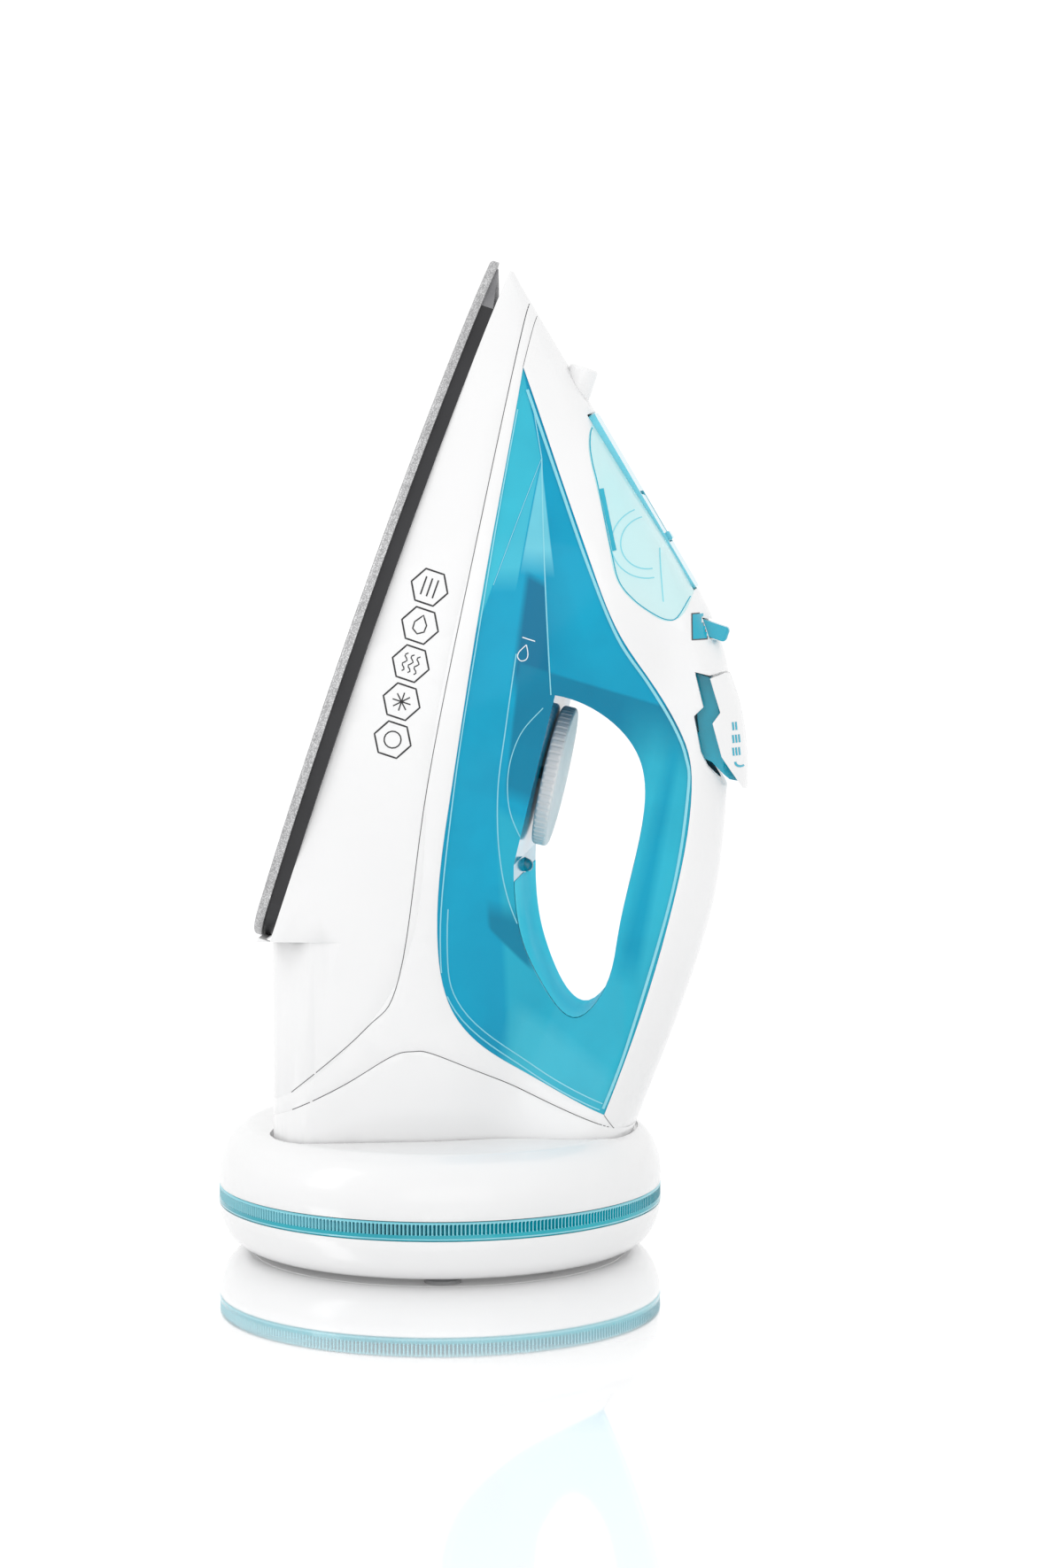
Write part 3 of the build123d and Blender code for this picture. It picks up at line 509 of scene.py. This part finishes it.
def tank_edge_highlights():
    """Painted highlight in a thin band round the tinted tank's edge, and in lines along its creases
    and inner walls, on both sides.
    """
    tree = shell_tree("water_tank")
    highlight_lines = bmesh.new()
    # the ends are cut back, where the band would run over the corners
    upper = smooth_path(TANK_UPPER)[2:]
    lower = smooth_path(TANK_LOWER)[1:-2]
    heel_part = lower[:26]
    # painted highlight bands just inside the tank's upper and lower edges, then painted highlight
    # lines on its creases and inner walls
    edge_bands = ((shifted(upper, 1.2), 0.9), (shifted(lower, 0.8), 0.4))
    creases = (([CREST, CREASE_END], 0.35), ([CREST, (192, 29.5)], 0.3), ([CREST, DEEP_END], 0.2),
               (shifted(heel_part, 3), 0.35), (smooth_path(DIAL_WELL), 0.3),
               (smooth_path(INNER_WALL), 0.35))
    for side in SIDES:
        for path, width in edge_bands:
            ribbon(highlight_lines, tree, path, width, side=side, lift=EDGE_HIGHLIGHT_LIFT)
        for path, width in creases:
            ribbon(highlight_lines, tree, path, width, side=side, lift=LINE_LIFT)
    new_piece("tank_edge_highlights", highlight_lines, PALE_CYAN, "iron")


def arc_points(x, z, radius, degrees):
    """Side-view points at the given angles round a centre."""
    return [(x + radius * math.cos(math.radians(a)), z + radius * math.sin(math.radians(a)))
            for a in degrees]


def icon_marks():
    """Row of five small wordless symbols printed on the lower casing."""
    tree = shell_tree("lower_casing")
    marks = bmesh.new()
    first, pitch = (125.5, 19.6), (-12.4, 1.2)
    frame_radius, dot_radius = 6.1, 2.7
    for i in range(5):
        x, z = first[0] + pitch[0] * i, first[1] + pitch[1] * i
        hexagon = arc_points(x, z, frame_radius, range(30, 390, 60))
        ribbon(marks, tree, hexagon, 0.55, closed=True)
        if i == 0:
            for k in (-2, 0, 2):
                ribbon(marks, tree, [(x - 3, z + k), (x + 3, z + k)], 0.5)
        elif i == 1:
            drop = [(x + 3.4, z), (x + 0.6, z + 2), (x - 1.6, z + 1.9), (x - 2.8, z),
                    (x - 1.6, z - 1.9), (x + 0.6, z - 2)]
            ribbon(marks, tree, drop, 0.45, closed=True)
        elif i == 2:
            for k in (-2, 0, 2):
                wave = [(x - 3 + 0.6 * j, z + k + 0.6 * math.sin(1.3 * j)) for j in range(11)]
                ribbon(marks, tree, wave, 0.4)
        elif i == 3:
            for angle in range(0, 180, 45):
                a = math.radians(angle)
                ribbon(marks, tree, [(x - 3 * math.cos(a), z - 3 * math.sin(a)),
                                     (x + 3 * math.cos(a), z + 3 * math.sin(a))], 0.42)
        else:
            ring = arc_points(x, z, dot_radius, range(0, 360, 24))
            ribbon(marks, tree, ring, 0.45, closed=True)
    new_piece("icon_marks", marks, PRINT, "iron")


def level_mark():
    """White drop printed on the tank beside the fill line."""
    tree = shell_tree("water_tank")
    mark = bmesh.new()
    x, fill_line = 114.6, 119.6
    drop = [(x + 3.1, 54.6), (x + 0.4, 56), (x - 1.4, 56), (x - 2.3, 54.6), (x - 1.4, 53.2),
            (x + 0.4, 53.2)]
    ribbon(mark, tree, smooth_path(drop + drop[:1], 4), 0.3, lift=LINE_LIFT)
    ribbon(mark, tree, [(fill_line, 52.6), (fill_line, 56.8)], 0.35, lift=LINE_LIFT)
    new_piece("level_mark", mark, MARK, "iron")


def button_slits():
    """Three rows of three slanted slits and a curved mark on each button cap."""
    first, row_step, slit_step, slit = (113.4, 124.6), (-3.9, 1.4), (0.27, 0.85), (-2.4, 1.1)
    for name, side, body in (("steam_button_cap", 1, "steam_button"),
                             ("spray_button_cap", -1, "spray_button")):
        tree = shell_tree(name)
        slits = bmesh.new()
        for row in range(3):
            for k in range(3):
                x = first[0] + row_step[0] * row + slit_step[0] * k
                z = first[1] + row_step[1] * row + slit_step[1] * k
                ribbon(slits, tree, [(x, z), (x + slit[0], z + slit[1])], 0.55, side=side,
                       lift=TRIM_LIFT, step=0.4)
        curve = [(101.6 - 1.3 * math.sin(a / 5), 131.2 + 1.6 * math.cos(a / 5)) for a in range(16)]
        ribbon(slits, tree, curve, 0.7, side=side, lift=TRIM_LIFT, step=0.4)
        new_piece(name + "_slits", slits, TEAL, body)


def lever_track():
    """Teal bed of the steam lever on the side of the nose slope, with a dark edge."""
    tree = shell_tree("main_housing", "handle_cover")
    bed, edge = bmesh.new(), bmesh.new()
    ribbon(edge, tree, [(144, 102.9), (135.7, 105.9)], 5.0, columns=8)
    ribbon(bed, tree, [(143.6, 103), (136.1, 105.8)], 4.2, lift=BED_LIFT, columns=8)
    new_piece("lever_bed_edge", edge, GAP, "iron")
    new_piece("lever_bed", bed, TEAL, "iron")


def window_trim():
    """Darker edge and clip strip of the inlet window, and the funnel's outline seen through it."""
    tree = shell_tree("inlet_window")
    trim = bmesh.new()
    edge = smooth_path(WINDOW_EDGE)
    for side in SIDES:
        for offset in (0.5, -0.5):
            ribbon(trim, tree, shifted(edge, offset), 0.35, side=side, lift=TRIM_LIFT)
        ribbon(trim, tree, [(172.2, 60.2), (154.8, 71)], 1.3, side=side, lift=LINE_LIFT)
    new_piece("window_trim", trim, TEAL, "iron")
    shapes = bmesh.new()
    arcs = [arc_points(160.5, 80, radius, range(150, 330, 8)) for radius in (8.5, 11.5)]
    lines = ([(189, 57.5), (166, 81)], [(160, 84), (144, 91)])
    for side in SIDES:
        for path in (*arcs, *lines):
            ribbon(shapes, tree, path, 0.4, side=side, lift=SHAPE_LIFT)
    new_piece("window_shapes", shapes, PALE_CYAN, "iron")


def hand_hole_lining():
    """Thin cyan lining on the wall of the hand hole, clear of the dial's deck: the wall's own
    translucent cyan, made paler with painted light passing through it.
    """
    shells = shell_tree("water_tank", "main_housing", "handle_cover")
    lining = bmesh.new()
    middle = Vector((58, 97))
    first_angle, last_angle, angle_step = -14, 238, 2
    columns = 12
    edge_margin = 1.2               # millimetres kept clear of the hole's rounded edge
    rows = []
    for degrees in range(first_angle, last_angle, angle_step):
        way = Vector((math.cos(math.radians(degrees)), math.sin(math.radians(degrees))))
        ray = (iron(way.x, 0, way.y) - iron(0, 0, 0)).normalized()
        hit = shells.ray_cast(iron(middle.x, 0, middle.y), ray)[0]
        if hit is None:
            rows.append(None)
            continue
        reach = (hit - iron(middle.x, 0, middle.y)).length / MM
        face = on_side(shells, *(middle + way * (reach + edge_margin)))
        half = abs(face.y) / MM - edge_margin if face else 0
        row = []
        for k in range(-columns // 2, columns // 2 + 1):
            start = iron(middle.x, half * k / (columns // 2), middle.y)
            wall = shells.ray_cast(start, ray)[0]
            row.append(lining.verts.new(wall - ray * BED_LIFT) if wall else None)
        rows.append(row)
    for first, second in zip(rows, rows[1:]):
        if first and second:
            for k in range(columns):
                corners = (first[k], first[k + 1], second[k + 1], second[k])
                if all(corners):
                    lining.faces.new(corners)
    new_piece("hand_hole_lining", lining, LIT_LINING, "iron")


def ribbed_ring():
    """Translucent ring: fine upright ribs with painted light on them and painted shade between
    them, over a smooth lip with two lines of painted highlight.
    """
    ring = bmesh.new()
    low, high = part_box("light_ring")
    radius = (high.x - low.x) / 2
    tall = high.z - low.z
    thick, gap_depth = 0.0034, 0.0007
    # radius taken off and share of the height, from the inner lower corner outwards and up
    outline = ((thick, 0.0), (0.0007, 0.0), (0.0002, 0.08), (0.0, 0.16), (0.0002, 0.34),
               (0.0002, 0.38), (0.0002, 0.84), (0.0001, 0.9), (0.0007, 1.0), (thick, 1.0))
    ribbed_points, ribbed_faces, lip_faces = (5, 6), (4, 5, 6), (2, 7)
    # slots: the ring's teal, then pale cyan for painted light on the ribs and painted highlight
    # lines on the lip, then painted shade in the gaps
    teal, bright, dark = 0, 1, 2
    steps = 4 * 352                 # two steps of rib and two of gap, 352 times round
    in_gap = [i % 4 in (2, 3) for i in range(steps)]
    for i in range(steps):
        angle = 2 * math.pi * i / steps
        for k, (off, share) in enumerate(outline):
            cut = gap_depth if in_gap[i] and k in ribbed_points else 0.0
            r = radius - off - cut
            ring.verts.new((BASE_X * MM + r * math.cos(angle), r * math.sin(angle),
                            low.z + share * tall))
    ring.verts.ensure_lookup_table()
    deep = len(outline)
    for i in range(steps):
        here, after = i * deep, ((i + 1) % steps) * deep
        for k in range(deep):
            above = (k + 1) % deep
            face = ring.faces.new([ring.verts[j] for j in (here + k, here + above,
                                                           after + above, after + k)])
            face.material_index = teal
            if k in ribbed_faces:
                face.material_index = dark if in_gap[i] else bright
            elif k in lip_faces:
                face.material_index = bright
    piece = new_piece("ribbed_ring", ring, RING, "base", smooth=False)
    piece.data.materials.append(PALE_CYAN)
    piece.data.materials.append(RIB_GAP_SHADE)
    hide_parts("light_ring")


seam_lines()
tank_edge_highlights()
icon_marks()
level_mark()
button_slits()
lever_track()
window_trim()
hand_hole_lining()
ribbed_ring()

# ---- floor, light and camera ----
def stage_floor():
    """Large pale floor that mirrors near the object only."""
    shiny_to, matt_from = 0.12, 0.25    # metres from the middle, mirror share fading between them
    mirror_share = 0.82
    plane = bmesh.new()
    corners = [plane.verts.new((x, y, 0)) for x, y in ((-8, -4), (8, -4), (8, 14), (-8, 14))]
    plane.faces.new(corners)
    mesh = bpy.data.meshes.new("floor")
    plane.to_mesh(mesh)
    plane.free()
    floor = bpy.data.objects.new("floor", mesh)
    bpy.context.scene.collection.objects.link(floor)
    mat, tree, shader = new_material("floor_gloss")
    tree.links.new(ramp(tree, noise(tree, 3), (0.975, 0.975, 0.978), (0.99, 0.99, 0.992)),
                   shader.inputs["Base Color"])
    tree.links.new(ramp(tree, noise(tree, 6), 0.03, 0.05), shader.inputs["Roughness"])
    place = tree.nodes.new("ShaderNodeTexCoord")
    away = tree.nodes.new("ShaderNodeVectorMath")
    away.operation = "LENGTH"
    tree.links.new(place.outputs["Object"], away.inputs[0])
    polish = tree.nodes.new("ShaderNodeMapRange")
    polish.inputs["From Min"].default_value = shiny_to
    polish.inputs["From Max"].default_value = matt_from
    polish.inputs["To Min"].default_value = mirror_share
    polish.inputs["To Max"].default_value = 0.0
    tree.links.new(away.outputs["Value"], polish.inputs["Value"])
    tree.links.new(polish.outputs["Result"], shader.inputs["Metallic"])
    shader.inputs["Emission Color"].default_value = (1, 1, 1, 1)
    shader.inputs["Emission Strength"].default_value = 0.06
    floor.data.materials.append(mat)


def soft_light(name, place, target, size, power):
    """Rectangular studio light aimed at a point."""
    light = bpy.data.lights.new(name, "AREA")
    light.shape = "RECTANGLE"
    light.size, light.size_y = size
    light.energy = power
    lamp = bpy.data.objects.new(name, light)
    lamp.location = place
    lamp.rotation_euler = (Vector(target) - Vector(place)).to_track_quat("-Z", "Y").to_euler()
    bpy.context.scene.collection.objects.link(lamp)


stage_floor()
# each light's place, the point it faces, its size in metres and its power in watts
soft_light("key", (-1.4, -0.9, 1.1), (0, 0, 0.15), (0.5, 1.2), 4.2)
soft_light("fill", (0.3, -1.6, 0.5), (0, 0, 0.12), (1.4, 0.8), 1.9)
soft_light("top", (0.1, 0.2, 1.5), (0, 0, 0.1), (0.7, 0.7), 0.3)

world = bpy.data.worlds.new("studio")
world.use_nodes = True
background = world.node_tree.nodes["Background"]
background.inputs["Color"].default_value = (1, 1, 1, 1)
background.inputs["Strength"].default_value = 1.05
bpy.context.scene.world = world
bpy.context.scene.view_settings.view_transform = "Standard"

looking_down, turned = 4.94, 6      # degrees
camera = bpy.data.objects.new("camera", bpy.data.cameras.new("camera"))
camera.location = (0.1431, -1.2304, 0.262)
camera.rotation_euler = (math.radians(90 - looking_down), 0, math.radians(turned))
camera.data.lens = 85.7
bpy.context.scene.collection.objects.link(camera)
bpy.context.scene.camera = camera
